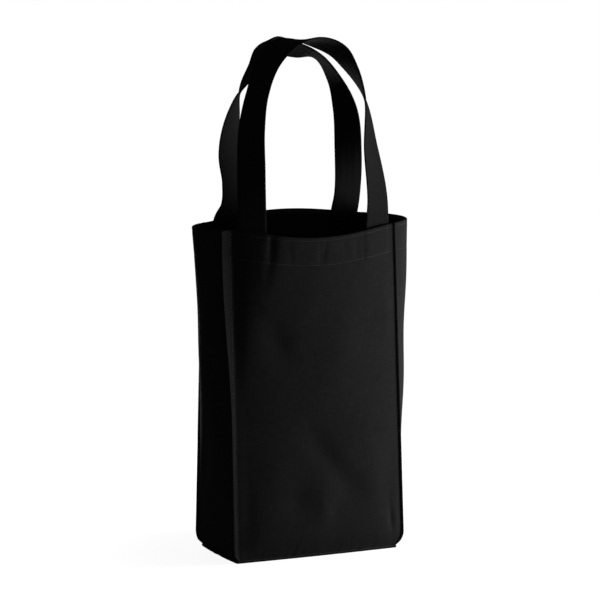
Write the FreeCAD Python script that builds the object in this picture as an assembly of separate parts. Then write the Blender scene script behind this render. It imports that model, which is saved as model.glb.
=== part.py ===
import FreeCAD, Part
import math
import os

from FreeCAD import Vector

# A canvas carrier with two compartments. The origin is the middle of the base's underside, +Z is up,
# the front panel faces -Y and +X is to the right seen from the front. Sizes are in millimetres.

# Bag body
bag_width = 167.0
bag_depth = 91.0
bag_height = 298.0
mouth_narrowing = 4.0
mouth_draw_in = 19.0
canvas = 1.0

# How far each side bows out of its straight line, at the base and at the mouth, and how late it swells
base_bow = 1.5
panel_bow = 9.0
right_bow = 27.0
left_bow = 22.0
panel_lateness = 0.75
right_lateness = 0.62
left_lateness = 1.0

# Mouth of the bag
hem_depth = 25.0
front_rim_dip = 8.0
back_rim_rise = 8.0
rim_margin = 2.0

# Pinched seams at the corners and round the base
corner_fin = 3.0
base_lip = 3.0
base_corner_radius = 4.0

# Webbing handles
web_width = 25.4
web_thickness = 1.8
handle_inset = 19.0
handle_rise = 170.0

# Line of each loop from its left foot to its right foot: place across as a share of half the spacing,
# lean outwards and height as shares of the rise, and turn of the webbing's face in degrees
front_line = (
    (-1.00, 0.000, 0.000, 0.0),
    (-0.97, 0.018, 0.310, 29.0),
    (-0.95, 0.036, 0.640, 51.0),
    (-0.70, 0.048, 0.900, 66.0),
    (-0.33, 0.054, 0.975, 78.0),
    (0.06, 0.054, 1.000, 95.0),
    (0.40, 0.048, 0.935, 102.0),
    (0.75, 0.036, 0.740, 75.0),
    (0.91, 0.024, 0.410, 39.0),
    (1.00, 0.000, 0.000, 0.0),
)
back_line = (
    (-1.00, 0.000, 0.000, 0.0),
    (-0.86, 0.003, 0.220, 22.0),
    (-0.85, 0.006, 0.420, 28.0),
    (-0.75, 0.009, 0.630, 46.0),
    (-0.50, 0.015, 0.860, 63.0),
    (-0.02, 0.021, 1.000, 60.0),
    (0.55, 0.015, 0.930, 84.0),
    (0.88, 0.012, 0.780, 80.0),
    (1.05, 0.006, 0.570, 46.0),
    (1.08, 0.006, 0.330, 20.0),
    (1.00, 0.000, 0.000, 0.0),
)

# Divider between the compartments
divider_tab_width = 22.0
divider_stem = 8.0
divider_hem = 12.0
divider_floor_gap = 8.0
divider_side_gap = 3.0

# Clearances
web_gap = 0.5
sewn_gap = 0.15
hinge_gap = 0.3
rim_gap = 0.5
handle_lift = 0.9

# Accuracy of the lofts
band_shares = (0.0, 0.05, 0.13, 0.26, 0.45, 0.7, 1.0)
gusset_facets = 12
handle_stations = 33

BEYOND = 40.0
mouth_width = bag_width - mouth_narrowing
mouth_depth = bag_depth - mouth_draw_in
handle_spacing = mouth_width - 2 * handle_inset
rim_top = bag_height + back_rim_rise + rim_margin
hem_foot = bag_height - hem_depth
hem_inset = 2 * canvas
web_inset = hem_inset + web_gap
tab_inset = hem_inset + sewn_gap
handle_foot = bag_height + handle_lift
band_edges = [share * bag_height for share in band_shares]


def corner(z, inset, side_x, side_y):
    """Corner of the bag's plan at a height, moved in along its diagonal."""
    share = z / bag_height
    width = bag_width + (mouth_width - bag_width) * share
    depth = bag_depth + (mouth_depth - bag_depth) * share
    return Vector(side_x * (width / 2 - inset), side_y * (depth / 2 - inset), z)


def bow(z, at_mouth, lateness):
    """Outward bow of one side at a height, straight within a band and on above the last one."""
    bands = list(zip(band_edges, band_edges[1:]))
    low, high = next((band for band in bands if z <= band[1]), bands[-1])
    swell = [(edge / bag_height) ** lateness for edge in (low, high)]
    share = swell[0] + (swell[1] - swell[0]) * (z - low) / (high - low)
    return base_bow + (at_mouth - base_bow) * share


def bows(z):
    """Outward bow of the front, right, back and left sides at a height."""
    panel = bow(z, panel_bow, panel_lateness)
    return panel, bow(z, right_bow, right_lateness), panel, bow(z, left_bow, left_lateness)


def side_edges(start, end, stand, facets):
    """Edges from start to end that stand out at the middle, as one arc or as straight facets."""
    arc = Part.Arc(start, (start + end) * 0.5 + stand, end)
    if facets == 1:
        return [arc.toShape()]
    points = [start, *arc.discretize(facets + 1)[1:-1], end]
    return [Part.LineSegment(a, b).toShape() for a, b in zip(points, points[1:])]


def plan(z, inset, fin):
    """Closed outline of the bag at a height, with a pinched fin on each corner if fin is not zero."""
    order = ((-1, -1), (1, -1), (1, 1), (-1, 1))
    outward = (Vector(0, -1, 0), Vector(1, 0, 0), Vector(0, 1, 0), Vector(-1, 0, 0))
    root = canvas * math.sqrt(2) if fin else 0.0
    edges = []
    for index, reach in enumerate(bows(z)):
        start = corner(z, inset, *order[index])
        end = corner(z, inset, *order[(index + 1) % 4])
        along = (end - start).normalize()
        next_along = Vector(-along.y, along.x, 0)
        facets = gusset_facets if index % 2 else 1
        edges.extend(side_edges(start + along * root, end - along * root, outward[index] * reach, facets))
        if fin:
            tip = (along - next_along).normalize() * fin
            near, far = end - along * root, end + next_along * root
            points = [near, near + tip, far + tip, far]
            edges.extend(Part.LineSegment(a, b).toShape() for a, b in zip(points, points[1:]))
    return Part.Wire(edges)


def form(z_low, z_high, inset, fin=0.0):
    """Soft solid of the bag between two heights, made in bands."""
    between = [edge for edge in band_edges[:-1] if z_low < edge < z_high]
    outlines = [plan(z, inset, fin) for z in (z_low, *between, z_high)]
    return Part.makeLoft(outlines, True, True)


def layer(z_low, z_high, outer_inset, inner_inset):
    """One ply that follows the bag's wall, between two insets."""
    return form(z_low, z_high, outer_inset).cut(form(z_low - 1, z_high + 1, inner_inset))


def box(x_low, x_high, y_low, y_high, z_low, z_high):
    """Box between two corners."""
    return Part.makeBox(x_high - x_low, y_high - y_low, z_high - z_low, Vector(x_low, y_low, z_low))


def base_plate(z_low, z_high):
    """Flat sheet with the base's outline and rounded corners."""
    half_x, half_y = bag_width / 2 + base_lip, bag_depth / 2 + base_lip
    plate = box(-half_x, half_x, -half_y, half_y, z_low, z_high)
    upright = [e for e in plate.Edges if abs(e.tangentAt(e.FirstParameter).z) > 0.99]
    return plate.makeFillet(base_corner_radius, upright)


def rim_cutter(side, rise):
    """Solid above the rim of one half, which rises or sags between its two handle legs."""
    span = handle_spacing / 2 - web_width / 2 - rim_margin
    left = Vector(-span, 0, bag_height)
    right = Vector(span, 0, bag_height)
    middle = Part.Arc(left, Vector(0, 0, bag_height + rise), right).toShape()
    out, up = Vector(bag_width, 0, 0), Vector(0, 0, BEYOND)
    lid = Part.makePolygon([right, right + out, right + out + up, left - out + up, left - out, left])
    face = Part.Face(Part.Wire([middle, *lid.Edges]))
    return face.extrude(Vector(0, side * (bag_depth / 2 + BEYOND), 0))


def wedge(side_x, side_y):
    """Solid that holds one wall of the bag, cut through its two corners along their diagonals."""
    outlines = []
    for z in (-BEYOND, bag_height + 2 * BEYOND):
        near = corner(z, 0.3 * mouth_depth, 1, 1)
        far = corner(z, -BEYOND, 1, 1)
        if side_y:
            points = [Vector(x, side_y * y, z) for x, y in (
                (-near.x, near.y), (-far.x, far.y), (far.x, far.y), (near.x, near.y))]
        else:
            points = [Vector(side_x * x, y, z) for x, y in (
                (near.x, -near.y), (far.x, -far.y), (far.x, far.y), (near.x, near.y))]
        outlines.append(Part.makePolygon(points + points[:1]))
    return Part.makeLoft(outlines, True, True)


def walls():
    """The four sewn walls as one ring: outer ply, turned-in hem, corner fins and base lip."""
    ring = form(canvas, rim_top, 0.0, corner_fin)
    ring = ring.fuse(base_plate(canvas, 2 * canvas))
    ring = ring.cut(form(canvas - 1, hem_foot, canvas))
    ring = ring.cut(form(hem_foot, rim_top + 1, hem_inset))
    above = rim_cutter(-1, -front_rim_dip).fuse(rim_cutter(1, back_rim_rise))
    return ring.cut(above.removeSplitter())


def wall_face(x, inset):
    """How far a ply of the front or back wall stands from the middle plane at the rim."""
    half_chord = mouth_width / 2 - inset
    radius = (half_chord ** 2 + panel_bow ** 2) / (2 * panel_bow)
    return mouth_depth / 2 - inset + panel_bow - radius + math.sqrt(radius ** 2 - x ** 2)


def handle_end(side_x, side_y):
    """Sewn end of one webbing leg, flat against the inside of the hem."""
    strip = layer(hem_foot, bag_height, web_inset, web_inset + web_thickness)
    middle = side_x * handle_spacing / 2
    reach = bag_depth / 2 + BEYOND
    y_low, y_high = sorted((side_y * canvas, side_y * reach))
    keep = box(middle - web_width / 2, middle + web_width / 2, y_low, y_high, hem_foot, bag_height)
    return strip.common(keep)


def smooth(share):
    """Eased share from 0 to 1."""
    return share * share * (3 - 2 * share)


def turn_at(place, places, turns):
    """Turn of the webbing's face at a place on its line, eased between the keys, in radians."""
    index = max(i for i in range(len(places) - 1) if i == 0 or places[i] <= place)
    share = (place - places[index]) / (places[index + 1] - places[index])
    return math.radians(turns[index] + (turns[index + 1] - turns[index]) * smooth(share))


def handle(side_y, line):
    """Free loop of webbing: flat at the rim, twisting as it rises and turned over at the top."""
    half = handle_spacing / 2
    depth = wall_face(half + web_width / 2, web_inset) - web_thickness / 2
    turns = [key[3] for key in line]
    top_turn = math.radians(max(line, key=lambda key: key[2])[3])
    edge_lift = web_width / 2 * abs(math.cos(top_turn)) + web_thickness / 2 * math.sin(top_turn)
    rise = bag_height + handle_rise - edge_lift - handle_foot
    points = [Vector(x * half, side_y * (depth + lean * rise), handle_foot + z * rise)
              for x, lean, z, turn in line]
    curve = Part.BSplineCurve()
    curve.interpolate(points, InitialTangent=Vector(0, 0, 1), FinalTangent=Vector(0, 0, -1))
    places = [curve.parameter(point) for point in points]
    sections = []
    for index in range(handle_stations):
        place = curve.parameterAtDistance(curve.length() * index / (handle_stations - 1))
        centre = curve.value(place)
        along = Vector(*curve.tangent(place)[0])
        crown = along.cross(Vector(0, 1, 0)).normalize()
        outward = crown.cross(along) * side_y
        turn = turn_at(place, places, turns)
        face = outward * math.cos(turn) + crown * math.sin(turn)
        across = along.cross(face) * (web_width / 2)
        thick = face * (web_thickness / 2)
        inner, outer = centre - thick, centre + thick
        ring = [inner - across, inner + across, outer + across, outer - across]
        sections.append(Part.makePolygon(ring + ring[:1]))
    return Part.makeLoft(sections, True, True)


def divider_tab(side_y):
    """Upper corner of the divider, turned flat against the hem, with the stem that carries the curtain."""
    half = divider_tab_width / 2
    low, high = hem_foot + sewn_gap, bag_height - front_rim_dip - rim_gap
    reach = bag_depth / 2 + BEYOND
    y_low, y_high = sorted((side_y * canvas, side_y * reach))
    flat = layer(low, high, tab_inset, tab_inset + canvas).common(box(-half, half, y_low, y_high, low, high))
    face = wall_face(0.0, tab_inset) - canvas / 2
    y_low, y_high = sorted((side_y * face, side_y * (face - canvas / 2 - divider_stem)))
    return flat.fuse(box(-canvas / 2, canvas / 2, y_low, y_high, low, high)).removeSplitter()


def divider():
    """Curtain of canvas that hangs from its two tabs, with a hem along its top."""
    half = wall_face(0.0, canvas) - divider_side_gap
    top = hem_foot + sewn_gap - 2 * hinge_gap
    curtain = box(-canvas / 2, canvas / 2, -half, half, canvas + divider_floor_gap, top)
    fold = box(canvas / 2, 3 * canvas / 2, -half, half, top - divider_hem, top)
    return curtain.fuse(fold).removeSplitter()


def export(name, shape):
    """Write one piece."""
    shape.exportStep("parts/" + name + ".step")


os.makedirs("parts", exist_ok=True)

ring = walls()
for name, side_x, side_y in (
    ("front_panel", 0, -1),
    ("back_panel", 0, 1),
    ("left_gusset", -1, 0),
    ("right_gusset", 1, 0),
):
    export(name, ring.common(wedge(side_x, side_y)))
export("base_panel", base_plate(0.0, canvas))

for face, side_y, line in (("front", -1, front_line), ("back", 1, back_line)):
    export(face + "_handle", handle(side_y, line))
    export(face + "_handle_end_left", handle_end(-1, side_y))
    export(face + "_handle_end_right", handle_end(1, side_y))
    export("divider_tab_" + face, divider_tab(side_y))
export("divider", divider())
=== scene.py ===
"""Soft black canvas carrier with two compartments: its cloth, webbing, thread, light and camera."""
import logging
import math
from dataclasses import dataclass, field
from enum import Enum

import bpy
import numpy as np
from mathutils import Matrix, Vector


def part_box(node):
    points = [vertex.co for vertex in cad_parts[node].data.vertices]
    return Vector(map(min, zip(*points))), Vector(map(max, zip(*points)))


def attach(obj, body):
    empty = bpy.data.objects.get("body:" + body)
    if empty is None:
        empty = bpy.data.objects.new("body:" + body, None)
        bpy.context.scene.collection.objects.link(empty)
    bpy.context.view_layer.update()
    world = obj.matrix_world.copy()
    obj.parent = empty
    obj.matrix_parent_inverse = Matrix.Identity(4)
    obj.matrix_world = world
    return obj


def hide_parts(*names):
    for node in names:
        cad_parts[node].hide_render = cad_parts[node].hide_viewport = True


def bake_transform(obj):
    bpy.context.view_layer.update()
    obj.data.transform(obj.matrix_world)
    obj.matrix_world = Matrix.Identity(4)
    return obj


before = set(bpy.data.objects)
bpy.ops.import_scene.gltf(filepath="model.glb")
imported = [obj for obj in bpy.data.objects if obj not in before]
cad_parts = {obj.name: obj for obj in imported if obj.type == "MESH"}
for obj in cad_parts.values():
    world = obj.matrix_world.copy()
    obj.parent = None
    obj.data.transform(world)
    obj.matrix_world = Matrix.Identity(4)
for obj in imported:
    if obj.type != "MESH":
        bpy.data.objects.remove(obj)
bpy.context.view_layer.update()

LOG = logging.getLogger("bottle_carrier")
MM = 0.001
CLOTH_UV = "cloth"
CLOTH_THICKNESS = 0.86
SHARP_ANGLE = math.radians(55)
PATH_SAMPLES = 2000
UP = np.array([0.0, 0.0, 1.0])
WHITE = (1.0, 1.0, 1.0, 1.0)

Array = np.ndarray
Socket = bpy.types.NodeSocket
Colour = tuple[float, float, float]
Inputs = dict[int | str, object]


class Side(Enum):
    """The four walls, in the order in which the corners run."""

    FRONT = 0
    RIGHT = 1
    BACK = 2
    LEFT = 3


def ease(share: Array | float) -> Array:
    """Smooth step from 0 to 1.

    Args:
        share: Values, taken as 0 below 0 and as 1 above 1.

    Returns:
        The eased values.
    """
    share = np.clip(share, 0.0, 1.0)
    return share * share * (3.0 - 2.0 * share)


def unit(vectors: Array) -> Array:
    """Vectors along the last axis at length 1."""
    return vectors / np.maximum(np.linalg.norm(vectors, axis=-1, keepdims=True), 1e-9)


def run_lengths(points: Array, axis: int = 0) -> Array:
    """Distance along rows of points, from 0 at the first one.

    Args:
        points: Places, with their coordinates along the last axis.
        axis: Axis along which the rows run.

    Returns:
        The distances.
    """
    steps = np.linalg.norm(np.diff(points, axis=axis), axis=-1)
    start = np.zeros_like(np.take(steps, [0], axis=axis))
    return np.concatenate([start, np.cumsum(steps, axis=axis)], axis=axis)


def smooth_path(keys: Array, step: float) -> Array:
    """Even samples of a smooth curve through key rows, whose first three columns are a place.

    Args:
        keys: One row for each key, a place in mm and any further values.
        step: Distance between samples in mm.

    Returns:
        One row for each sample, with the same columns.
    """
    at = run_lengths(keys[:, :3])
    slope = np.gradient(keys, at, axis=0)
    fine = np.linspace(0.0, at[-1], PATH_SAMPLES)
    index = np.clip(np.searchsorted(at, fine, side="right") - 1, 0, len(at) - 2)
    span = (at[index + 1] - at[index])[:, None]
    share = (fine - at[index])[:, None] / span
    bend = ease(share)
    rows = (keys[index] * (1 - bend) + keys[index + 1] * bend
            + slope[index] * span * share * (1 - share) ** 2
            - slope[index + 1] * span * share ** 2 * (1 - share))
    run = run_lengths(rows[:, :3])
    even = np.linspace(0.0, run[-1], int(run[-1] / step) + 1)
    return np.stack([np.interp(even, run, column) for column in rows.T], axis=1)


def add_object(name: str, data: bpy.types.ID) -> bpy.types.Object:
    """Add an object to the scene.

    Args:
        name: Name of the new object.
        data: Its mesh, lamp or camera.

    Returns:
        The new object.
    """
    made = bpy.data.objects.new(name, data)
    bpy.context.scene.collection.objects.link(made)
    return made


def dress_in_canvas(sheet: bpy.types.Object, node: str) -> None:
    """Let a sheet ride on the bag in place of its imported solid.

    Args:
        sheet: The cloth.
        node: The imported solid.
    """
    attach(sheet, "bag")
    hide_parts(node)


class NodeSketch:
    """Short hand for building one node tree."""

    def __init__(self, tree: bpy.types.NodeTree) -> None:
        """Start on a tree."""
        self.tree = tree

    def fill(self, node: bpy.types.Node, inputs: Inputs) -> None:
        """Set or link inputs of a node.

        Args:
            node: The node.
            inputs: Values or sockets by input name or index.
        """
        for key, value in inputs.items():
            if isinstance(value, Socket):
                self.tree.links.new(value, node.inputs[key])
            else:
                node.inputs[key].default_value = value

    def add(self, kind: str, inputs: Inputs | None = None, **settings: object) -> bpy.types.Node:
        """Add a node.

        Args:
            kind: Blender's name of the node type.
            inputs: Values or sockets by input name or index.
            **settings: Properties of the node.

        Returns:
            The new node.
        """
        node = self.tree.nodes.new(kind)
        for key, value in settings.items():
            setattr(node, key, value)
        self.fill(node, inputs or {})
        return node

    def math(self, operation: str, *values: object) -> Socket:
        """Result of one math node, from numbers or sockets."""
        return self.add("ShaderNodeMath", dict(enumerate(values)), operation=operation).outputs[0]

    def noise(self, place: Socket, scale: float, detail: float = 2.0) -> Socket:
        """Noise from 0 to 1 at a place, with its frequency and octaves."""
        values = {"Vector": place, "Scale": scale, "Detail": detail}
        return self.add("ShaderNodeTexNoise", values).outputs[0]

    def tint(self, level: Socket, colour: Colour) -> Socket:
        """Colour multiplied by a level."""
        parts = {index: self.math("MULTIPLY", level, part) for index, part in enumerate(colour)}
        return self.add("ShaderNodeCombineColor", parts).outputs[0]

    def by_camera(self, others: Socket, camera: Socket) -> Socket:
        """Shader that is one for the camera's rays and another for all others."""
        ray = self.add("ShaderNodeLightPath").outputs["Is Camera Ray"]
        return self.add("ShaderNodeMixShader", {0: ray, 1: others, 2: camera}).outputs[0]


def new_material(name: str) -> tuple[bpy.types.Material, NodeSketch, bpy.types.Node]:
    """Start a material on Blender's standard shader.

    Args:
        name: Name of the material.

    Returns:
        The material, a sketch of its tree and its shader.
    """
    material = bpy.data.materials.new(name)
    material.use_nodes = True
    return material, NodeSketch(material.node_tree), material.node_tree.nodes["Principled BSDF"]


@dataclass(frozen=True)
class ClothFinish:
    """What the cloth finishes share."""

    name: str
    colour: Colour
    roughness: float
    specular: float
    sheen: float
    relief_mm: float
    sheen_roughness: float = 0.5
    bump_strength: float = 0.6
    base_level: float = 0.58
    shade_share: float = 0.55
    wear_share: float = 0.3
    wear_per_m: float = 34.0

    def pattern(self, sketch: NodeSketch, across: Socket, along: Socket) -> tuple[Socket, Socket]:
        """Height of the cloth and the tone of its colour, painted shade in the weave's hollows included.

        Args:
            sketch: The tree being built.
            across: Place across the cloth in mm.
            along: Place along the cloth in mm.

        Returns:
            Height and shade sockets, both about 0 to 1.
        """
        raise NotImplementedError

    def build(self) -> bpy.types.Material:
        """Make the material.

        Returns:
            The new material.
        """
        material, sketch, shader = new_material(self.name)
        flat = sketch.add("ShaderNodeUVMap", uv_map=CLOTH_UV).outputs["UV"]
        split = sketch.add("ShaderNodeSeparateXYZ", {0: flat}).outputs
        across, along = (sketch.math("MULTIPLY", part, 1 / MM) for part in (split[0], split[1]))
        height, shade = self.pattern(sketch, across, along)
        body = sketch.add("ShaderNodeTexCoord").outputs["Object"]
        wear = sketch.math("MULTIPLY", sketch.noise(body, self.wear_per_m, 3.0), self.wear_share)
        # Colour level from the pattern's tone, which holds painted shade in the weave's hollows, plus
        # random wear.
        woven = sketch.math("MULTIPLY_ADD", shade, self.shade_share, self.base_level)
        level = sketch.math("ADD", woven, wear)
        relief = {"Height": height, "Strength": self.bump_strength, "Distance": self.relief_mm * MM}
        sketch.fill(shader, {
            "Base Color": sketch.tint(level, self.colour),
            "Normal": sketch.add("ShaderNodeBump", relief).outputs[0],
            "Roughness": self.roughness,
            "Specular IOR Level": self.specular,
            "Sheen Weight": self.sheen,
            "Sheen Roughness": self.sheen_roughness,
        })
        return material


@dataclass(frozen=True)
class CanvasFinish(ClothFinish):
    """Plain woven cotton canvas with slubs in its yarn."""

    pitch_mm: float = 0.62
    slub_per_mm: tuple[float, float] = (1.1, 0.09)

    def pattern(self, sketch: NodeSketch, across: Socket, along: Socket) -> tuple[Socket, Socket]:
        """Height and shade of a plain weave: slub tone in the yarn, plus painted shade darker in the
        weave's hollows.

        Args:
            sketch: The tree being built.
            across: Place across the cloth in mm.
            along: Place along the cloth in mm.

        Returns:
            Height and shade sockets, both about 0 to 1.
        """
        turn = 2 * math.pi / self.pitch_mm
        waves = [sketch.math("SINE", sketch.math("MULTIPLY", way, turn)) for way in (across, along)]
        weave = sketch.math("MULTIPLY", *waves)
        slubs = []
        for wide, long in (self.slub_per_mm, self.slub_per_mm[::-1]):
            drawn = {0: sketch.math("MULTIPLY", across, wide), 1: sketch.math("MULTIPLY", along, long)}
            slubs.append(sketch.noise(sketch.add("ShaderNodeCombineXYZ", drawn).outputs[0], 1.0))
        slub = sketch.math("MULTIPLY", sketch.math("ADD", *slubs), 0.5)
        height = sketch.math("ADD", sketch.math("MULTIPLY_ADD", weave, 0.25, 0.5), slub)
        # Painted shade: the colour follows the weave's height, lighter on its crests and darker in its
        # hollows.
        painted_weave_shade = sketch.math("MULTIPLY", weave, 0.12)
        shade = sketch.math("ADD", sketch.math("MULTIPLY_ADD", slub, 2.4, -0.7), painted_weave_shade)
        return height, shade


@dataclass(frozen=True)
class WebbingFinish(ClothFinish):
    """Cotton webbing woven in chevrons."""

    chevron_mm: float = 6.35
    rib_mm: float = 2.1

    def pattern(self, sketch: NodeSketch, across: Socket, along: Socket) -> tuple[Socket, Socket]:
        """Height and shade of a herringbone: the ribs' height also sets the colour, painted shade in their
        grooves, with a random yarn tone on top.

        Args:
            sketch: The tree being built.
            across: Place across the webbing in mm.
            along: Place along the webbing in mm.

        Returns:
            Height and shade sockets, both about 0 to 1.
        """
        zigzag = sketch.math("PINGPONG", across, self.chevron_mm / 2)
        run = sketch.math("MULTIPLY", sketch.math("ADD", along, zigzag), 2 * math.pi / self.rib_mm)
        rib = sketch.math("MULTIPLY_ADD", sketch.math("SINE", run), 0.5, 0.5)
        drawn = {0: across, 1: sketch.math("MULTIPLY", along, 0.3)}
        yarn = sketch.noise(sketch.add("ShaderNodeCombineXYZ", drawn).outputs[0], 1.3)
        # Painted shade: colour lighter on the ribs' crests and darker in their grooves, plus random yarn
        # tone.
        shade = sketch.math("ADD", sketch.math("MULTIPLY", rib, 0.45), sketch.math("MULTIPLY", yarn, 0.5))
        return rib, shade


@dataclass(frozen=True)
class ThreadFinish:
    """Black sewing thread with a slight shine."""

    name: str
    colour: Colour
    roughness: float

    def build(self) -> bpy.types.Material:
        """Make the material.

        Returns:
            The new material.
        """
        material, sketch, shader = new_material(self.name)
        place = sketch.add("ShaderNodeTexCoord").outputs["Object"]
        level = sketch.math("MULTIPLY_ADD", sketch.noise(place, 900.0), 0.8, 0.6)
        sketch.fill(shader, {"Base Color": sketch.tint(level, self.colour), "Roughness": self.roughness})
        return material


def thick_sheet(name: str, points: Array, thickness: Array | float, material: bpy.types.Material,
                keep: Array | None = None) -> bpy.types.Object:
    """Closed sheet of cloth on a grid of points.

    Args:
        name: Name of the new object.
        points: Grid of places in mm, rows by columns by 3; its outer face looks along columns x rows.
        thickness: Thickness in mm, one for all or one for each point.
        material: Finish of the sheet.
        keep: Which cells of the grid are cloth, all of them if left out.

    Returns:
        The new object, in metres, with its flat place as a UV map.
    """
    rows, columns = points.shape[:2]
    count = rows * columns
    normal = unit(np.cross(np.gradient(points, axis=1), np.gradient(points, axis=0)))
    half = normal * np.broadcast_to(np.asarray(thickness, float), (rows, columns))[..., None] / 2
    places = np.concatenate([(points + half).reshape(-1, 3), (points - half).reshape(-1, 3)]) * MM
    if keep is None:
        keep = np.ones((rows - 1, columns - 1), bool)
    index = np.arange(count).reshape(rows, columns)
    cells = np.stack([index[:-1, :-1], index[:-1, 1:], index[1:, 1:], index[1:, :-1]], axis=-1)[keep]
    open_edges: dict[tuple[int, int], None] = {}
    for quad in cells.tolist():
        for start, end in zip(quad, quad[1:] + quad[:1]):
            if (end, start) in open_edges:
                del open_edges[(end, start)]
            else:
                open_edges[(start, end)] = None
    border = [(end, start, start + count, end + count) for start, end in open_edges]
    faces = np.array(cells.tolist() + (cells[:, ::-1] + count).tolist() + border)
    used = np.unique(faces)
    renumber = np.zeros(2 * count, int)
    renumber[used] = np.arange(len(used))
    mesh = bpy.data.meshes.new(name)
    mesh.from_pydata(places[used].tolist(), [], renumber[faces].tolist())
    across = run_lengths(points, axis=1)
    across = across - across.mean(axis=1, keepdims=True)
    flat = np.stack([across, run_lengths(points)], axis=-1).reshape(-1, 2)
    flat = np.concatenate([flat, flat])[used] * MM
    corner = np.zeros(len(mesh.loops), int)
    mesh.loops.foreach_get("vertex_index", corner)
    mesh.uv_layers.new(name=CLOTH_UV).data.foreach_set("uv", flat[corner].ravel())
    mesh.polygons.foreach_set("use_smooth", np.ones(len(mesh.polygons), bool))
    mesh.set_sharp_from_angle(angle=SHARP_ANGLE)
    mesh.materials.append(material)
    return add_object(name, mesh)


@dataclass(frozen=True)
class Dent:
    """Soft hollow in a wall, or a swelling if its depth is negative; sizes in mm, angle in degrees."""

    x: float
    z: float
    long: float
    short: float
    angle: float
    depth: float

    def lift(self, x: Array, z: Array) -> Array:
        """Outward shift.

        Args:
            x: Place across the wall from its middle.
            z: Height.

        Returns:
            Shift in mm.
        """
        turn = math.radians(self.angle)
        u = (x - self.x) * math.cos(turn) + (z - self.z) * math.sin(turn)
        v = (z - self.z) * math.cos(turn) - (x - self.x) * math.sin(turn)
        return -self.depth * np.exp(-(u / self.long) ** 2 - (v / self.short) ** 2)


@dataclass(frozen=True)
class Ridge:
    """Soft crest that runs up a wall and falls away to both corners; sizes in mm."""

    low: tuple[float, float]
    high: tuple[float, float]
    stand: tuple[float, float]
    soft: tuple[float, float]
    from_base: float = 22.0

    def lift(self, x: Array, z: Array, half: float) -> Array:
        """Outward shift.

        Args:
            x: Place across the wall from its middle.
            z: Height.
            half: Half of the wall's width.

        Returns:
            Shift in mm.
        """
        share = np.clip((z - self.low[1]) / (self.high[1] - self.low[1]), 0.0, 1.0)
        crest = self.low[0] + (self.high[0] - self.low[0]) * share
        stand = self.stand[0] + (self.stand[1] - self.stand[0]) * share
        soft = self.soft[0] + (self.soft[1] - self.soft[0]) * share
        left, right = 1 / (crest + half), 1 / (half - crest)
        away = x - crest
        fall = (left + right) / 2 * np.hypot(away, soft) + (right - left) / 2 * away
        return stand * np.clip(1 - fall, 0.0, None) * ease(z / self.from_base)


@dataclass(frozen=True)
class Corner:
    """One sewn corner, in mm: its place on the base and at the mouth, its top and its tuck at the foot."""

    base: tuple[float, float]
    mouth: tuple[float, float]
    top: float
    height: float
    tuck: tuple[float, float]
    tuck_height: float = 15.0

    def at(self, z: Array) -> Array:
        """Place in plan, drawn in towards the base's underside.

        Args:
            z: Heights.

        Returns:
            Places in mm.
        """
        share = (z / self.height)[..., None]
        drawn = np.clip(1 - z / self.tuck_height, 0.0, 1.0)[..., None] ** 2
        straight = np.array(self.base) * (1 - share) + np.array(self.mouth) * share
        return straight + np.array(self.tuck) * drawn


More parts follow.
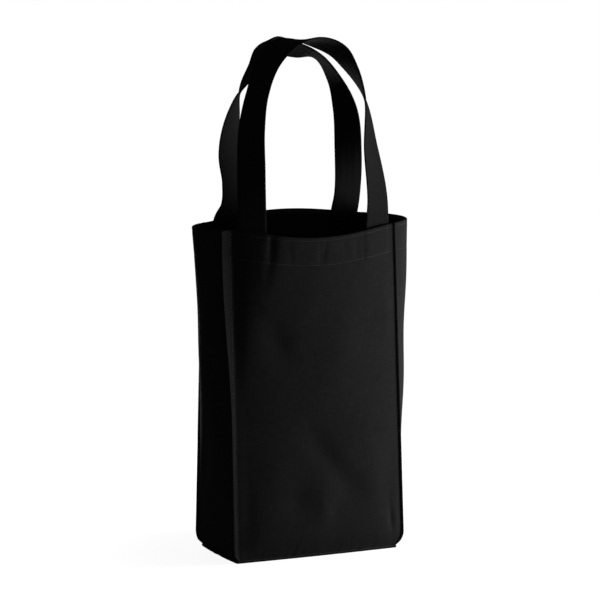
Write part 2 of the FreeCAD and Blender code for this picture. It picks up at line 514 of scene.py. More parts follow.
@dataclass(frozen=True)
class WallShape:
    """Soft shape of one wall between two sewn corners, in mm.

    The wall bows out more and more from the base to the mouth. Its relief adds slack, dents, ridges,
    gathers, flares beside the seams, the press of the hem's rows and the marks of the straps behind it.
    """

    start: Corner
    end: Corner
    width: float
    height: float
    mouth_bow: float
    bow_power: float
    rim_rise: float
    seed: int
    sway: float
    peak: float = 0.5
    base_bow: float = 1.5
    dents: tuple[Dent, ...] = ()
    ridges: tuple[Ridge, ...] = ()
    flares: tuple[float, float] = (0.0, 0.0)
    flare_root: float = 2.4
    flare_reach: float = 16.0
    flare_from: float = 60.0
    flare_over: float = 190.0
    waves: int = 12
    wave_length: tuple[float, float] = (38.0, 120.0)
    slack_from_seam: float = 14.0
    slack_from_base: float = 34.0
    ridge_from_seam: float = 5.0
    gather_from_seam: float = 7.0
    row_from_seam: float = 3.0
    strap_marks: tuple[float, ...] = ()
    strap_mark_half: float = 13.6
    strap_mark_drop: float = 27.0
    strap_mark_stand: float = 0.45
    gather_middle: float = 0.0
    foot: float = 1.35
    hem_rows: tuple[float, float] = (2.0, 24.0)
    hem_row_depth: float = 0.28
    hem_row_soft: float = 0.9
    seam_clearance: float = 1.6

    def rim(self, t: Array) -> Array:
        """Height in mm of the top edge at a share of the width."""
        line = self.start.top + (self.end.top - self.start.top) * t
        return line + self.rim_rise * np.sin(np.pi * np.clip(t, 0, 1)) ** 1.2

    def undulation(self, x: Array, z: Array) -> Array:
        """Slow waves of slack cloth.

        Args:
            x: Place across the wall from its middle.
            z: Height.

        Returns:
            Shift in mm.
        """
        chance = np.random.default_rng(self.seed)
        total = np.zeros_like(x)
        for _ in range(self.waves):
            length = chance.uniform(*self.wave_length)
            turn = chance.uniform(-0.9, 0.9)
            phase = chance.uniform(0.0, 2 * math.pi)
            way = x * math.cos(turn) + z * math.sin(turn)
            total += length / 100 * np.sin(2 * math.pi / length * way + phase)
        return self.sway * total / 2.4

    def gathers(self, x: Array, z: Array, drop: Array) -> Array:
        """Small puckers over the base seam and in the hem.

        Args:
            x: Place across the wall from its middle.
            z: Height.
            drop: Distance below the rim.

        Returns:
            Shift in mm.
        """
        chance = np.random.default_rng(self.seed + 100)
        total = np.zeros_like(x)
        for _ in range(int(self.width / 5)):
            place = chance.uniform(-0.47, 0.47) * self.width
            near = 0.35 + 0.65 * math.exp(-((place - self.gather_middle) / 28) ** 2)
            size = chance.uniform(-1.0, 0.8) * near
            wide, tall = chance.uniform(1.7, 3.4), chance.uniform(4.0, 10.0)
            lean = chance.uniform(-0.4, 0.4)
            total += size * np.exp(-((x - place - lean * z) / wide) ** 2) * np.exp(-z / tall) * ease(z / 3)
        low_row = self.hem_rows[1]
        swell = np.sin(np.pi * np.clip(drop / (low_row + 1), 0, 1)) ** 0.8
        band = np.where((drop > 0) & (drop < low_row + 3), swell, 0.0)
        for _ in range(int(self.width / 14)):
            place = chance.uniform(-0.46, 0.46) * self.width
            size, wide = chance.uniform(-0.55, 0.35), chance.uniform(1.8, 3.8)
            lean = chance.uniform(-0.15, 0.15)
            total += size * np.exp(-((x - place - lean * drop) / wide) ** 2) * band
        return total

    def relief(self, t: Array, z: Array) -> Array:
        """Outward shift of the cloth from its plain bow.

        Args:
            t: Share of the width.
            z: Height.

        Returns:
            Shift in mm.
        """
        x = (t - 0.5) * self.width
        drop = self.rim(t) - z
        inward = np.minimum(t, 1 - t) * self.width
        free = ease(inward / self.slack_from_seam) * ease(z / self.slack_from_base)
        total = self.undulation(x, z) * free
        for dent in self.dents:
            total = total + dent.lift(x, z) * free
        for ridge in self.ridges:
            total = total + ridge.lift(x, z, self.width / 2) * ease(inward / self.ridge_from_seam)
        total = total + self.gathers(x, z, drop) * ease(inward / self.gather_from_seam)
        for flare, away in zip(self.flares, (t * self.width, (1 - t) * self.width)):
            swell = flare * (1 - np.exp(-away / self.flare_root)) * np.exp(-(away / self.flare_reach) ** 2)
            total = total + swell * ease((z - self.flare_from) / self.flare_over)
        for row in self.hem_rows:
            press = self.hem_row_depth * np.exp(-((drop - row) / self.hem_row_soft) ** 2)
            total = total - press * ease(inward / self.row_from_seam)
        for mark in self.strap_marks:
            side = ease((self.strap_mark_half - np.abs(x - mark)) / 1.6)
            total = total + self.strap_mark_stand * side * ease((self.strap_mark_drop - drop) / 2.0)
        return total

    def points(self, t: Array, z: Array) -> Array:
        """Places on the middle of the cloth.

        Args:
            t: Share of the width.
            z: Height.

        Returns:
            Places in mm.
        """
        first, last = self.start.at(z), self.end.at(z)
        chord = last - first
        length = np.linalg.norm(chord, axis=-1)
        run = chord / length[..., None]
        out = np.stack([run[..., 1], -run[..., 0]], axis=-1)
        share = np.clip(z / self.height, 0.0, None)
        bow = self.base_bow + (self.mouth_bow - self.base_bow) * share ** self.bow_power
        half = length / 2
        radius = (half ** 2 + bow ** 2) / (2 * bow)
        angle = 2 * np.arctan2(bow, half)
        skew = math.log(0.5) / np.log(0.5 + (self.peak - 0.5) * np.clip(share, 0, 1))
        t = np.clip(t, 0.0, 1.0)
        reach = half + radius * np.sin(angle * (2 * t - 1))
        stand = radius * np.cos(angle * (2 * t ** skew - 1)) - (radius - bow) + self.relief(t, z)
        plan = first + run * reach[..., None] + out * stand[..., None]
        return np.concatenate([plan, z[..., None]], axis=-1)

    def outward(self, t: Array, z: Array) -> Array:
        """Level direction out of the bag.

        Args:
            t: Share of the width.
            z: Height.

        Returns:
            Unit vectors.
        """
        step = 0.6 / self.width
        run = self.points(np.minimum(t + step, 1.0), z) - self.points(np.maximum(t - step, 0.0), z)
        run[..., 2] = 0.0
        return np.cross(unit(run), UP)

    def offset(self, t: Array, z: Array, distance: float) -> Array:
        """Places in mm at a distance out of the middle of the cloth."""
        return self.points(t, z) + self.outward(t, z) * distance

    def seam_line(self, drop: float, distance: float) -> Array:
        """Line along the wall at a distance below the rim.

        Args:
            drop: Distance below the rim in mm.
            distance: Distance out of the middle of the cloth in mm.

        Returns:
            Places in mm.
        """
        count = int(self.width / 1.5)
        t = np.linspace(self.seam_clearance, self.width - self.seam_clearance, count) / self.width
        return self.offset(t, self.rim(t) - drop, distance)

    def share_at(self, x: float, z: float) -> float:
        """Share of the width at which the wall reaches a place in x.

        Args:
            x: The place in mm.
            z: Height in mm.

        Returns:
            The share.
        """
        t = np.linspace(0.0, 1.0, 400)
        found = self.points(t, np.full_like(t, z))[:, 0]
        order = np.argsort(found)
        return float(np.interp(x, found[order], t[order]))


@dataclass
class SeamCorner:
    """The pinched seam where two walls meet; its heading is an angle in plan in degrees."""

    corner: Corner
    before: WallShape
    after: WallShape
    heading: float
    stand: float
    flare: float = 0.0
    flare_from: float = 120.0
    flare_over: float = 150.0
    ply: float = 0.42
    hem_step: float = 0.15
    lip_share: float = 0.86
    foot_share: float = 0.12
    free_from: float = 1.5
    turn_over: float = 8.0
    rise_over: float = 5.0

    def frame_at(self, z: Array, on_after: bool) -> tuple[Array, Array, Array, Array]:
        """Directions of the seam on one of its two walls.

        Args:
            z: Heights.
            on_after: True for the wall that starts here, False for the wall that ends here.

        Returns:
            Corner place, direction between the walls' faces, direction of the pinched edge, mitre factor.
        """
        ones = np.ones_like(z)
        normals = self.before.outward(ones, z), self.after.outward(ones * 0, z)
        middle = unit(normals[0] + normals[1])
        turn = math.radians(self.heading)
        free = ease((z - self.free_from) / self.turn_over)[..., None]
        edge = unit(middle * (1 - free) + np.array([math.cos(turn), math.sin(turn), 0.0]) * free)
        mitre = 1 / np.maximum(np.sum(normals[int(on_after)] * middle, axis=-1), 0.5)
        place = np.concatenate([self.corner.at(z), z[..., None]], axis=-1)
        return place, middle, edge, mitre

    def beside(self, direction: Array, on_after: bool) -> Array:
        """Level direction square to another one, on the side of one of the two walls."""
        square = np.cross(UP, direction)
        return square if on_after else -square

    def rise(self, z: Array) -> Array:
        """How far the pinched edge stands out.

        Args:
            z: Heights.

        Returns:
            Distances in mm.
        """
        grown = ease((z - self.free_from) / self.rise_over)
        swell = self.flare * ease((z - self.flare_from) / self.flare_over)
        return self.stand * (self.foot_share + (1 - self.foot_share) * grown) + swell

    def hem_edge(self, z: Array, depth: float, on_after: bool) -> Array:
        """Columns of the turned-in hem beside the seam.

        Args:
            z: Heights.
            depth: Distance of the hem inside the wall in mm.
            on_after: True for the wall that starts here, False for the wall that ends here.

        Returns:
            Grid of places in mm, four to a row.
        """
        place, middle, _, mitre = self.frame_at(z, on_after)
        inner = place - middle * depth * mitre[:, None]
        steps = self.hem_step * np.arange(1, 5)[:, None]
        return inner[:, None] + self.beside(middle, on_after)[:, None] * steps


@dataclass
class BagForm:
    """The whole soft form: four corners and four walls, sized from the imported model, in mm."""

    lip: float = 1.7
    corner_inset: float = 3.0
    corners: list[Corner] = field(init=False)
    walls: dict[Side, WallShape] = field(init=False)
    seams: list[SeamCorner] = field(init=False)

    def __post_init__(self) -> None:
        """Work out the corners, walls and seams."""
        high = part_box("base_panel")[1] / MM
        half_x, half_y = high.x - self.corner_inset, high.y - self.corner_inset
        wide, deep = 2 * half_x, 2 * half_y
        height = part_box("front_panel")[1].z / MM
        leg = abs(sum(corner.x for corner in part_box("front_handle_end_left"))) / 2 / MM
        # Each corner: base, mouth, rise of its top and tuck
        places = (
            ((-half_x, -half_y), (-80.0, -32.5), 0.0, (1.5, 1.0)),
            ((half_x - 1.0, -half_y), (80.3, -35.5), 0.0, (-10.0, 0.5)),
            ((half_x, half_y), (81.0, 32.0), 5.5, (-6.0, -4.0)),
            ((-half_x, half_y), (-78.0, 33.0), 2.5, (5.0, -4.0)),
        )
        self.corners = [Corner(base, mouth, height + rise, height, tuck)
                        for base, mouth, rise, tuck in places]
        # Each dent: x, z, long, short, angle and depth
        front = (
            Dent(-42, 196, 24, 13, -60, 1.4),
            Dent(10, 84, 36, 11, -54, 1.6),
            Dent(-24, 50, 14, 11, 0, 1.1),
            Dent(2, 42, 9, 16, 0, -0.9),
            Dent(34, 62, 16, 12, -30, 1.0),
            Dent(72, 24, 2.6, 16, 4, 1.3),
            Dent(-48, 280, 4, 22, -8, 0.9),
        )
        gusset = (Dent(-12, 90, 40, 12, 70, 2.0), Dent(14, 170, 34, 11, 60, 1.6))
        back = (Dent(30, 150, 38, 14, 55, 2.2), Dent(-38, 84, 34, 13, -40, 2.0))
        crests = (
            Ridge(low=(58.0, 60.0), high=(14.0, 250.0), stand=(3.2, 2.6), soft=(4.0, 26.0)),
            Ridge(low=(-66.0, 130.0), high=(-40.0, 270.0), stand=(0.0, 4.0), soft=(24.0, 9.0)),
            Ridge(low=(-64.0, 30.0), high=(-64.0, 160.0), stand=(2.0, 0.0), soft=(5.0, 14.0)),
        )
        plans = {
            Side.FRONT: dict(width=wide, mouth_bow=9.0, bow_power=1.25, rim_rise=-9.0, seed=3, sway=0.45,
                             dents=front, strap_marks=(-leg, leg), ridges=crests, peak=0.47,
                             gather_middle=8.0),
            Side.RIGHT: dict(width=deep, mouth_bow=27.0, bow_power=0.62, rim_rise=0.0, seed=5, sway=0.5,
                             dents=gusset, flares=(-1.0, 0.0)),
            Side.BACK: dict(width=wide, mouth_bow=9.0, bow_power=0.8, rim_rise=7.2, seed=7, sway=0.6,
                            dents=back, strap_marks=(-leg, leg)),
            Side.LEFT: dict(width=deep, mouth_bow=22.0, bow_power=1.0, rim_rise=-0.5, seed=9, sway=0.5,
                            dents=gusset, flares=(0.0, 4.4)),
        }
        self.walls = {}
        for side, plan in plans.items():
            start, end = self.corners[side.value], self.corners[(side.value + 1) % 4]
            self.walls[side] = WallShape(start=start, end=end, height=height, **plan)
        edges = (
            dict(heading=192.0, stand=3.2, flare=7.2),
            dict(heading=-38.0, stand=1.6),
            dict(heading=40.0, stand=2.9),
            dict(heading=125.0, stand=2.9),
        )
        ring = [self.walls[side] for side in Side]
        self.seams = [SeamCorner(corner, before=ring[k - 1], after=ring[k], **edges[k])
                      for k, corner in enumerate(self.corners)]

    def seams_of(self, side: Side) -> tuple[SeamCorner, SeamCorner]:
        """The seams at the start and the end of a wall."""
        return self.seams[side.value], self.seams[(side.value + 1) % 4]


@dataclass
class WallPanel:
    """One wall as a single sheet: lip at the base, wall, fold over the rim and turned-in hem, in mm."""

    node: str
    side: Side
    form: BagForm
    material: bpy.types.Material
    fold: float = 0.8
    spacing: float = 1.5
    end_gap: float = 1.0
    seam_allowance: float = 2.7
    hem_allowance: float = 25.0
    fold_allowance: float = 2.5
    lip_shares: tuple[float, ...] = (1.0, 0.72, 0.44, 0.18)
    edge_shares: tuple[float, ...] = (1.0, 0.75, 0.45, 0.15)
    wall: WallShape = field(init=False)
    lips: Array = field(init=False)
    heights: Array = field(init=False)
    turns: Array = field(init=False)
    drops: Array = field(init=False)

    def __post_init__(self) -> None:
        """Work out the rows of the lip, the wall, the fold and the hem."""
        self.wall = self.form.walls[self.side]
        self.lips = self.form.lip * np.array(self.lip_shares)
        self.heights = np.concatenate([
            np.linspace(0.0, 0.06, 18, endpoint=False),
            np.linspace(0.06, 0.89, 110, endpoint=False),
            np.linspace(0.89, 1.0, 28),
        ])
        self.turns = np.linspace(0, math.pi, 8)[1:-1, None, None]
        self.drops = np.linspace(0.4, 24.8, 18)

    def grid(self) -> Array:
        """Points of the sheet, from the lip up over the rim and down the hem.

        Returns:
            Grid of places in mm.
        """
        gap = self.end_gap / self.wall.width
        columns = np.linspace(gap, 1 - gap, int(self.wall.width / self.spacing))
        t, share = np.meshgrid(columns, self.heights)
        top = self.wall.rim(columns)
        z = self.wall.foot + (top - self.wall.foot) * share
        body, out = self.wall.points(t, z), self.wall.outward(t, z)
        lip = body[0] + out[0] * self.lips[:, None, None]
        tuck = out[-1] * self.fold * (1 - np.cos(self.turns))
        fold = body[-1] - tuck + UP * self.fold * np.sin(self.turns)
        t, drop = np.meshgrid(columns, self.drops)
        hem = self.wall.offset(t, top - drop, -2 * self.fold)
        start, end = self.form.seams_of(self.side)
        middle = np.concatenate([lip, body, fold, hem])
        return np.concatenate([self.edge(start, True), middle, self.edge(end, False)[:, ::-1]], axis=1)

    def edge(self, seam: SeamCorner, on_after: bool) -> Array:
        """Columns of the pinched seam at one end of the sheet, tip first.

        Args:
            seam: The corner's seam.
            on_after: True at the start of the wall.

        Returns:
            Grid of places in mm.
        """
        foot, top = np.array([self.wall.foot]), np.array([seam.corner.top])
        place, _, edge, mitre = seam.frame_at(foot, on_after)
        reach = np.maximum(self.lips * mitre * seam.lip_share, seam.rise(foot))[:, None, None]
        spread = seam.ply * (0.4 + 0.6 * np.arange(4))[:, None]
        lip = place + edge * reach + seam.beside(edge, on_after) * spread
        z = foot + (top - foot) * self.heights
        place, _, edge, _ = seam.frame_at(z, on_after)
        stand = (edge * seam.rise(z)[:, None])[:, None] * np.array(self.edge_shares)[:, None]
        body = place[:, None] + stand + seam.beside(edge, on_after)[:, None] * seam.ply
        share = (1 - np.cos(self.turns)) / 2
        inner = seam.hem_edge(top, 2 * self.fold, on_after)[0]
        fold = body[-1] * (1 - share) + inner * share + UP * self.fold * np.sin(self.turns)
        hem = seam.hem_edge(top - self.drops, 2 * self.fold, on_after)
        return np.concatenate([lip, body, fold, hem])

    def build(self) -> bpy.types.Object:
        """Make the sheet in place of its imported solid.

        Returns:
            The new object.
        """
        sheet = thick_sheet(self.node + "_cloth", self.grid(), CLOTH_THICKNESS, self.material)
        dress_in_canvas(sheet, self.node)
        return sheet


@dataclass
class BasePanel:
    """Flat bottom with its seam lip all round, in mm."""

    node: str
    form: BagForm
    material: bpy.types.Material
    cells: int = 60
    floor_gap: float = 0.02

    def outline(self, side: Side) -> Array:
        """Even points along the lip of one wall.

        Args:
            side: The wall.

        Returns:
            Places in plan in mm.
        """
        wall = self.form.walls[side]
        t = np.linspace(0.012, 0.988, 90)
        line = wall.offset(t, np.full_like(t, wall.foot), self.form.lip)
        ends = []
        for seam in self.form.seams_of(side):
            place, _, edge, mitre = seam.frame_at(np.array([wall.foot]), True)
            ends.append(place + edge * self.form.lip * mitre * seam.lip_share)
        line = np.concatenate([ends[0], line, ends[1]])[:, :2]
        run = run_lengths(line)
        even = np.linspace(0.0, run[-1], self.cells + 1)
        return np.stack([np.interp(even, run, column) for column in line.T], axis=1)

    def build(self) -> bpy.types.Object:
        """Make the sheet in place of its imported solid.

        Returns:
            The new object.
        """
        front, right, back, left = (self.outline(side) for side in Side)
        back, left = back[::-1], left[::-1]
        share = np.linspace(0, 1, self.cells + 1)
        u, v = share[None, :, None], share[:, None, None]
        corners = ((1 - u) * (1 - v) * front[0] + u * (1 - v) * front[-1]
                   + u * v * back[-1] + (1 - u) * v * back[0])
        plan = ((1 - v) * front[None] + v * back[None]
                + (1 - u) * left[:, None] + u * right[:, None] - corners)
        height = np.full(plan.shape[:2] + (1,), CLOTH_THICKNESS / 2 + self.floor_gap)
        points = np.concatenate([plan, height], axis=-1)
        sheet = thick_sheet(self.node + "_cloth", points, CLOTH_THICKNESS, self.material)
        dress_in_canvas(sheet, self.node)
        return sheet


@dataclass
class WebbingHandle:
    """One length of webbing: a twisting loop between two ends sewn inside the hem, in mm."""

    body: str
    side: Side
    form: BagForm
    loop: tuple[tuple[float, float, float, float], ...]
    feet: tuple[float, float]
    material: bpy.types.Material
    width: float = 25.4
    thickness: float = 1.8
    inset: float = 3.0
    sewn_drops: tuple[float, ...] = (24.0, 17.0, 10.0, 3.0)
    step: float = 2.6
    edge_places: tuple[float, ...] = (0.0, 0.35, 0.9)
    edge_thickness: tuple[float, ...] = (0.9, 1.45, 1.72)
    flat_start: float = 1.8
    flat_columns: int = 7
    stitch_gap: float = 1.5
    stitch_rows: tuple[int, ...] = (1, 8, -9, -2)
    bend: tuple[float, float] = (3.0, 13.0)
    facing: float = field(init=False)

    def __post_init__(self) -> None:
        """Settle which way is out of the bag."""
        self.facing = -1.0 if self.side is Side.FRONT else 1.0

    def sewn(self, x: float) -> list[tuple[float, float, float, float]]:
        """Keys of one sewn end, bottom first: place and turn.

        Args:
            x: Place of its middle.

        Returns:
            Rows of x, y, z and turn in degrees.
        """
        wall = self.form.walls[self.side]
        keys = []
        for drop in self.sewn_drops:
            t = np.array([wall.share_at(x, wall.height - drop)])
            z = wall.rim(t) - drop
            turn = math.degrees(math.asin(wall.outward(t, z)[0, 0])) * (1 if x > 0 else -1)
            keys.append((*wall.offset(t, z, -self.inset)[0], turn))
        return keys

    def frames(self) -> tuple[Array, Array]:
        """Middle line of the webbing and its direction across.

        Returns:
            Places in mm and unit vectors.
        """
        keys = np.array(self.sewn(self.feet[0]) + list(self.loop) + self.sewn(self.feet[1])[::-1])
        rows = smooth_path(keys, self.step)
        along = unit(np.gradient(rows[:, :3], axis=0))
        outward = np.tile([0.0, self.facing, 0.0], (len(rows), 1))
        crown = unit(np.cross(along, outward)) * self.facing
        outward = unit(outward - along * np.sum(outward * along, axis=1, keepdims=True))
        turn = np.radians(rows[:, 3])[:, None]
        face = outward * np.cos(turn) + crown * np.sin(turn)
        return rows[:, :3], unit(np.cross(along, face))

    def end_rows(self) -> list[Array]:
        """Lines across the inner face of both sewn ends, where the hem's rows of stitches hold them.

        Returns:
            Places in mm, one array for each row.
        """
        middle, across = self.frames()
        inward = np.array([0.0, -self.facing, 0.0]) * (self.thickness / 2 + 0.1)
        half = self.width / 2 - self.stitch_gap
        reach = np.linspace(-half, half, 12)[:, None]
        return [middle[row] + across[row] * reach + inward for row in self.stitch_rows]

    def build(self) -> bpy.types.Object:
        """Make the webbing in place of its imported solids.

        Returns:
            The new object.
        """
        middle, across = self.frames()
        flat = np.linspace(self.flat_start, self.width / 2, self.flat_columns)
        place = np.concatenate([self.edge_places, flat]) - self.width / 2
        place = np.concatenate([place, -place[-2::-1]])
        thick = np.concatenate([self.edge_thickness, np.full(self.flat_columns, self.thickness)])
        thick = np.concatenate([thick, thick[-2::-1]])
        points = middle[:, None] + across[:, None] * place[None, :, None]
        strap = thick_sheet(self.body + "_webbing", points, thick, self.material)
        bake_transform(strap)
        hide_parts(self.body, self.body + "_end_left", self.body + "_end_right")
        return strap


@dataclass
class Divider:
    """Curtain between the compartments, hung from two tabs sewn inside the hem, in mm."""

    form: BagForm
    material: bpy.types.Material
    tab_half: float = 11.0
    tab_inset: float = 2.6
    stem: float = 8.0
    stem_rise: float = 12.0
    top_gap: float = 2.0
    hem: float = 12.5
    hem_soft: float = 0.8
    hem_extra: float = 0.9
    fine_height: float = 14.0
    sway: float = 1.9
    sway_length: float = 13.0
    ripple: float = 1.2
    ripple_lengths: tuple[float, float] = (31.0, 37.0)
    bend: tuple[float, float] = (2.0, 10.0)

    def curtain(self) -> bpy.types.Object:
        """Make the hanging sheet with its two stems.

        Returns:
            The new object.
        """
        low, high = (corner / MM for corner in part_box("divider"))
        stem_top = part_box("divider_tab_front")[1].z / MM - self.top_gap
        y = np.linspace(low.y, high.y, 55)
        fine = high.z - self.fine_height
        z = np.concatenate([np.linspace(low.z, fine, 90, endpoint=False), np.linspace(fine, stem_top, 20)])
        across, up = np.meshgrid(y, z)
        slack = 1 - up / high.z
        sway = self.sway * np.sin(across / self.sway_length + 0.5) * slack
        wave = np.sin(up / self.ripple_lengths[0] + across / self.ripple_lengths[1])
        ripple = self.ripple * wave * np.sqrt(np.maximum(slack, 0))
        points = np.stack([sway + ripple, across, up], axis=-1)
        above_edge = ease((up - (high.z - self.hem)) / self.hem_soft)
        doubled = above_edge * ease((high.z + self.hem_soft - up) / self.hem_soft)
        centre_y, centre_z = (y[1:] + y[:-1]) / 2, (z[1:] + z[:-1]) / 2
        keep = (centre_z[:, None] < high.z) | (np.abs(centre_y)[None, :] > high.y - self.stem)
        thickness = CLOTH_THICKNESS * (1 + self.hem_extra * doubled)
        sheet = thick_sheet("divider_cloth", points, thickness, self.material, keep)
        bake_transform(sheet)
        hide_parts("divider")
        return sheet

    def tab(self, node: str, side: Side) -> bpy.types.Object:
        """Make one tab, flat against the hem.

        Args:
            node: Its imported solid.
            side: The wall that it is sewn to.

        Returns:
            The new object.
        """
        wall = self.form.walls[side]
        low, high = (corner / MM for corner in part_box(node))
        middle = wall.share_at(0.0, low.z)
        reach = self.tab_half / wall.width
        t, z = np.meshgrid(np.linspace(middle - reach, middle + reach, 19),
                           np.linspace(low.z, high.z - self.top_gap, 15))
        points = wall.offset(t, z, -self.tab_inset)
        tab = thick_sheet(node + "_cloth", points, CLOTH_THICKNESS, self.material)
        dress_in_canvas(tab, node)
        return tab

    def build(self) -> list[bpy.types.Object]:
        """Make the curtain and both tabs."""
        tabs = (("divider_tab_front", Side.FRONT), ("divider_tab_back", Side.BACK))
        return [self.curtain()] + [self.tab(node, side) for node, side in tabs]


@dataclass
class Stitching:
    """Rows of stitches laid along lines by a node group and kept as plain meshes, in mm."""

    form: BagForm
    handles: tuple[WebbingHandle, ...]
    material: bpy.types.Material
    pitch: float = 3.2
    length: float = 2.3
    radius: float = 0.27
    seed: int = 4
    outside: float = 0.5
    inside: float = -2.08
    seam_reach: float = 1.4
    seam_share: float = 0.45
    seam_ends: tuple[float, float] = (8.0, 3.0)
    base_share: float = 0.55
    raised: float = 0.48
    group: bpy.types.NodeTree = field(init=False)

    def __post_init__(self) -> None:
        """Build the node group."""
        self.group = self.nodes()

    def nodes(self) -> bpy.types.NodeTree:
        """Node group that lays stitches along a line.

        Returns:
            The group.
        """
        tree = bpy.data.node_groups.new("stitch_row", "GeometryNodeTree")
        sockets = (("Line", "INPUT", "Geometry"), ("Pitch", "INPUT", "Float"),
                   ("Stitch Length", "INPUT", "Float"), ("Thread Radius", "INPUT", "Float"),
                   ("Thread", "INPUT", "Material"), ("Stitches", "OUTPUT", "Geometry"))
        for name, way, kind in sockets:
            tree.interface.new_socket(name, in_out=way, socket_type="NodeSocket" + kind)
        sketch = NodeSketch(tree)
        given = sketch.add("NodeGroupInput").outputs
        curve = sketch.add("GeometryNodeMeshToCurve", {"Mesh": given["Line"]}).outputs[0]
        spacing = {"Curve": curve, "Length": given["Pitch"]}
        spots = sketch.add("GeometryNodeCurveToPoints", spacing, mode="LENGTH").outputs
        shape = sketch.add("GeometryNodeMeshUVSphere", {"Segments": 6, "Rings": 5, "Radius": 1.0})
        turn = sketch.add("FunctionNodeAlignRotationToVector", {"Vector": spots["Tangent"]}, axis="Z")
        half = sketch.math("MULTIPLY", given["Stitch Length"], 0.5)
        sizes = {0: given["Thread Radius"], 1: given["Thread Radius"], 2: half}
        size = sketch.add("ShaderNodeCombineXYZ", sizes).outputs[0]
        spread = {"Min": (0.9, 0.9, 0.85), "Max": (1.1, 1.1, 1.1), "Seed": self.seed}
        vary = sketch.add("FunctionNodeRandomValue", spread, data_type="FLOAT_VECTOR").outputs[0]
        scale = sketch.add("ShaderNodeVectorMath", {0: size, 1: vary}, operation="MULTIPLY").outputs[0]
        laid = sketch.add("GeometryNodeInstanceOnPoints", {
            "Points": spots["Points"], "Instance": shape.outputs["Mesh"],
            "Rotation": turn.outputs[0], "Scale": scale})
        real = sketch.add("GeometryNodeRealizeInstances", {0: laid.outputs[0]})
        smooth = sketch.add("GeometryNodeSetShadeSmooth", {0: real.outputs[0]})
        painted = sketch.add("GeometryNodeSetMaterial", {0: smooth.outputs[0], "Material": given["Thread"]})
        sketch.add("NodeGroupOutput", {0: painted.outputs[0]})
        return tree

    def lay(self, name: str, lines: list[Array]) -> bpy.types.Object:
        """Lay stitches along lines and keep them as one mesh.

        Args:
            name: Name of the new object.
            lines: Places in mm, one array for each row.

        Returns:
            The new object.
        """
        places, edges = [], []
        for line in lines:
            first = len(places)
            places.extend((line * MM).tolist())
            edges.extend((first + k, first + k + 1) for k in range(len(line) - 1))
        guide = bpy.data.meshes.new(name)
        guide.from_pydata(places, edges, [])
        row = add_object(name, guide)
        modifier = row.modifiers.new("stitches", "NODES")
        modifier.node_group = self.group
        values = {"Pitch": self.pitch * MM, "Stitch Length": self.length * MM,
                  "Thread Radius": self.radius * MM, "Thread": self.material}
        for item in self.group.interface.items_tree:
            if item.name in values:
                modifier[item.identifier] = values[item.name]
        graph = bpy.context.evaluated_depsgraph_get()
        baked = bpy.data.meshes.new_from_object(row.evaluated_get(graph))
        row.modifiers.clear()
        row.data = baked
        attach(row, "bag")
        return row

    def hem_lines(self, distance: float) -> list[Array]:
        """Both rows of every wall's hem, at a distance out of the middle of the cloth."""
        return [wall.seam_line(drop, distance)
                for wall in self.form.walls.values() for drop in wall.hem_rows]

    def corner_lines(self) -> list[Array]:
        """Lines down both faces of each pinched corner.

        Returns:
            Places in mm, one array for each row.
        """
        lines = []
        for seam in self.form.seams:
            z = np.linspace(self.seam_ends[0], seam.corner.top - self.seam_ends[1], 160)
            for on_after in (True, False):
                place, _, edge, _ = seam.frame_at(z, on_after)
                reach = np.minimum(seam.rise(z) * self.seam_share, self.seam_reach)[:, None]
                lines.append(place + edge * reach + seam.beside(edge, on_after) * (seam.ply + self.raised))
        return lines

    def base_lines(self) -> list[Array]:
        """Lines along the lip of every wall.

        Returns:
            Places in mm, one array for each row.
        """
        t = np.linspace(0.015, 0.985, 120)
        reach = self.form.lip * self.base_share
        return [wall.offset(t, np.full_like(t, wall.foot), reach) + UP * self.raised
                for wall in self.form.walls.values()]

    def build(self) -> list[bpy.types.Object]:
        """Lay every row.

        Returns:
            The new objects.
        """
        ends = [row for handle in self.handles for row in handle.end_rows()]
        return [
            self.lay("hem_stitches_outside", self.hem_lines(self.outside)),
            self.lay("hem_stitches_inside", self.hem_lines(self.inside)),
            self.lay("corner_stitches", self.corner_lines()),
            self.lay("base_stitches", self.base_lines()),
            self.lay("handle_end_stitches", ends),
        ]


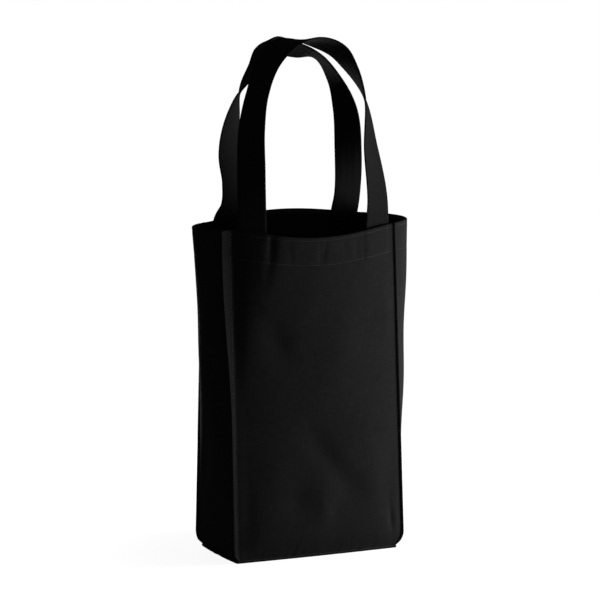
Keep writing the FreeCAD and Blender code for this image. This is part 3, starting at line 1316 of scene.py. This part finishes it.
@dataclass
class Studio:
    """Pale floor, soft light from the right, a weak fill from behind, and the camera.

    The camera's target and distance are in mm and its angles in degrees, the floor's sizes in metres.
    """

    target: tuple[float, float, float] = (1.85, 0.0, 229.05)
    azimuth: float = -24.59
    elevation: float = 6.33
    roll: float = -0.57
    distance: float = 2383.7
    lens: float = 156.0
    floor_half: float = 6.0
    floor_grey: float = 0.3
    painted_shade_glow: float = 0.92
    painted_shade_radii: tuple[float, float] = (0.1, 0.26)
    world_strength: float = 0.07

    def floor(self) -> None:
        """White floor that keeps the shadow; its camera-only glow dims towards the bag, painted shade round
        the bag's foot.
        """
        reach = self.floor_half
        mesh = bpy.data.meshes.new("floor")
        rim = [(-reach, -reach, 0), (reach, -reach, 0), (reach, reach, 0), (-reach, reach, 0)]
        mesh.from_pydata(rim, [], [(0, 1, 2, 3)])
        floor = add_object("floor", mesh)
        material = bpy.data.materials.new("pale floor")
        material.use_nodes = True
        material.node_tree.nodes.clear()
        sketch = NodeSketch(material.node_tree)
        grey = (self.floor_grey, self.floor_grey, self.floor_grey, 1.0)
        soft = sketch.add("ShaderNodeBsdfDiffuse", {"Color": grey}).outputs[0]
        place = sketch.add("ShaderNodeTexCoord").outputs["Object"]
        away = sketch.add("ShaderNodeVectorMath", {0: place}, operation="LENGTH").outputs["Value"]
        # Painted shade: the camera-only glow falls from white to a lower level near the bag, darkening the
        # floor round its foot so that the cast shadow shows.
        fade = {"Value": away, "From Min": self.painted_shade_radii[0], "From Max": self.painted_shade_radii[1],
                "To Min": self.painted_shade_glow, "To Max": 1.0}
        level = sketch.add("ShaderNodeMapRange", fade, interpolation_type="SMOOTHSTEP").outputs[0]
        glow = sketch.add("ShaderNodeEmission", {"Color": WHITE, "Strength": level}).outputs[0]
        seen = sketch.add("ShaderNodeAddShader", {0: soft, 1: glow}).outputs[0]
        sketch.add("ShaderNodeOutputMaterial", {"Surface": sketch.by_camera(soft, seen)})
        mesh.materials.append(material)

    def world(self) -> None:
        """White behind the object, dim grey all round it."""
        world = bpy.data.worlds.new("studio")
        bpy.context.scene.world = world
        world.use_nodes = True
        world.node_tree.nodes.clear()
        sketch = NodeSketch(world.node_tree)
        dim, white = (sketch.add("ShaderNodeBackground", {"Color": WHITE, "Strength": strength}).outputs[0]
                      for strength in (self.world_strength, 1.0))
        sketch.add("ShaderNodeOutputWorld", {"Surface": sketch.by_camera(dim, white)})

    def lamp(self, name: str, place: tuple[float, float, float], size: tuple[float, float],
             power: float) -> None:
        """Soft panel light that stands upright and faces the bag.

        Args:
            name: Name of the lamp.
            place: Its middle in metres.
            size: Width and height in metres.
            power: Watts.
        """
        data = bpy.data.lights.new(name, "AREA")
        data.shape = "RECTANGLE"
        data.size, data.size_y = size
        data.energy = power
        lamp = add_object(name, data)
        lamp.location = place
        lamp.rotation_euler = Vector((place[0], place[1], 0.0)).to_track_quat("Z", "Y").to_euler()
        lamp.visible_camera = False

    def camera(self) -> None:
        """Camera at the photo's viewpoint."""
        data = bpy.data.cameras.new("camera")
        data.lens = self.lens
        data.sensor_width = 36.0
        data.clip_end = 50.0
        camera = add_object("camera", data)
        turn, tilt = math.radians(self.azimuth), math.radians(self.elevation)
        level = math.cos(tilt)
        back = Vector((math.sin(turn) * level, -math.cos(turn) * level, math.sin(tilt)))
        camera.location = (Vector(self.target) + back * self.distance) * MM
        camera.rotation_euler = (-back).to_track_quat("-Z", "Y").to_matrix().to_4x4().to_euler()
        camera.rotation_euler.rotate_axis("Z", math.radians(self.roll))
        bpy.context.scene.camera = camera

    def build(self) -> None:
        """Set up floor, light, camera and view."""
        self.floor()
        self.world()
        self.lamp("key", place=(0.579, -0.222, 0.16), size=(0.2, 0.26), power=4.9)
        self.lamp("back fill", place=(0.05, 0.65, 0.15), size=(0.16, 0.2), power=1.4)
        self.camera()
        bpy.context.scene.view_settings.view_transform = "Standard"


# Keys of the two loops from left to right: x, y and z in mm, and the turn of the webbing in degrees
FRONT_LOOP = (
    (-60.4, -35.2, 312.5, 17.5),
    (-61.0, -36.2, 350.5, 30.0),
    (-61.0, -38.2, 388.5, 47.0),
    (-56.4, -40.0, 418.0, 62.0),
    (-43.5, -41.8, 450.2, 59.0),
    (-32.0, -42.4, 461.8, 61.0),
    (-20.4, -42.8, 465.6, 80.0),
    (3.6, -42.4, 464.6, 109.0),
    (23.4, -41.6, 455.8, 111.0),
    (34.0, -40.8, 443.2, 98.0),
    (48.2, -39.8, 417.8, 70.5),
    (56.6, -37.9, 367.5, 36.0),
    (64.2, -35.6, 318.0, 18.0),
)
BACK_LOOP = (
    (-52.8, 34.0, 313.0, 25.5),
    (-51.0, 33.6, 337.5, 28.0),
    (-53.8, 33.6, 362.3, 26.0),
    (-47.2, 34.6, 398.5, 41.0),
    (-42.4, 34.9, 414.5, 61.0),
    (-36.7, 35.2, 425.0, 79.0),
    (-24.9, 36.0, 443.2, 92.0),
    (-17.4, 36.8, 459.6, 88.0),
    (-8.4, 37.0, 466.2, 78.0),
    (2.0, 37.0, 462.6, 68.0),
    (12.0, 36.6, 457.8, 62.0),
    (22.5, 36.1, 455.0, 66.0),
    (38.2, 35.6, 450.6, 89.0),
    (55.8, 35.4, 428.7, 82.0),
    (65.4, 34.6, 402.2, 55.0),
    (68.5, 34.4, 363.0, 26.0),
    (66.3, 34.0, 318.0, 7.0),
)


def main() -> None:
    """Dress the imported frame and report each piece."""
    logging.basicConfig(level=logging.INFO)
    canvas = CanvasFinish("black canvas", (0.0175, 0.0172, 0.0178), roughness=0.95, specular=0.06,
                          sheen=0.015, relief_mm=0.22).build()
    webbing = WebbingFinish("black webbing", (0.0122, 0.0121, 0.0126), roughness=0.9, specular=0.06,
                            sheen=0.01, relief_mm=0.35).build()
    thread = ThreadFinish("black thread", (0.02, 0.02, 0.021), roughness=0.6).build()
    form = BagForm()
    walls = zip(("front_panel", "right_gusset", "back_panel", "left_gusset"), Side)
    pieces = [WallPanel(node, side, form, canvas).build() for node, side in walls]
    pieces.append(BasePanel("base_panel", form, canvas).build())
    handles = (
        WebbingHandle("front_handle", Side.FRONT, form, FRONT_LOOP, feet=(-62.0, 63.3), material=webbing),
        WebbingHandle("back_handle", Side.BACK, form, BACK_LOOP, feet=(-58.3, 63.5), material=webbing),
    )
    pieces.extend(handle.build() for handle in handles)
    pieces.extend(Divider(form, canvas).build())
    pieces.extend(Stitching(form, handles, thread).build())
    Studio().build()
    for piece in pieces:
        LOG.info("%s: %d faces", piece.name, len(piece.data.polygons))


if __name__ == "__main__":
    main()
